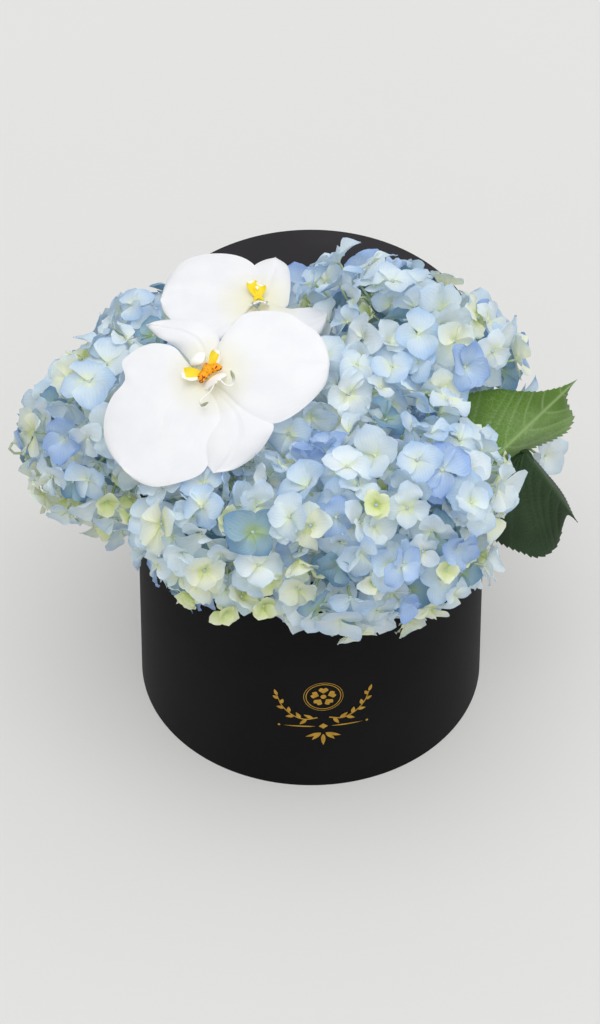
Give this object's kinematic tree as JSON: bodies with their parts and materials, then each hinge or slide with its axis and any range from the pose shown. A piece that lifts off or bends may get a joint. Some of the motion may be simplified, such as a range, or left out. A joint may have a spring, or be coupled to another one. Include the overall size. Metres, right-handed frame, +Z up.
{
  "type": "hydrangea flower box",
  "caption": "Round black hat box filled with cut blue and cream hydrangea heads, white moth orchid blooms and broad leaves, its lid standing on edge behind it.",
  "frame": {"origin": "middle of the hat box's flat underside", "axes": "+Z up; the box's ornamented front faces -Y and its lid stands behind it on +Y; +X to the right, seen from the front"},
  "size_m": [0.3023, 0.2617, 0.246],
  "materials": {
    "black_board": "matt black paper over board",
    "flower_foam": "soaked green flower foam",
    "green_stem": "green stem, slightly woody",
    "blue_sepals": "soft matt sepals, pale blue to cream",
    "white_petal": "satin white petals",
    "green_leaf": "satin green leaf with paler veins"
  },
  "bodies": {
    "root": {"hat_box": "black_board", "lid": "black_board", "foam": "flower_foam", "stem_left": "green_stem", "stem_front_left": "green_stem", "stem_front": "green_stem", "stem_front_right": "green_stem", "stem_back_right": "green_stem", "stem_back_left": "green_stem", "stem_middle": "green_stem", "hydrangea_left": "blue_sepals", "hydrangea_front_left": "blue_sepals", "hydrangea_front": "blue_sepals", "hydrangea_front_right": "blue_sepals", "hydrangea_back_right": "blue_sepals", "hydrangea_back_left": "blue_sepals", "hydrangea_middle": "blue_sepals", "orchid_stem_front": "green_stem", "orchid_stem_back": "green_stem", "orchid_front": "white_petal", "orchid_back": "white_petal", "leaf_upper": "green_leaf", "leaf_lower": "green_leaf"}
  },
  "joints": []
}
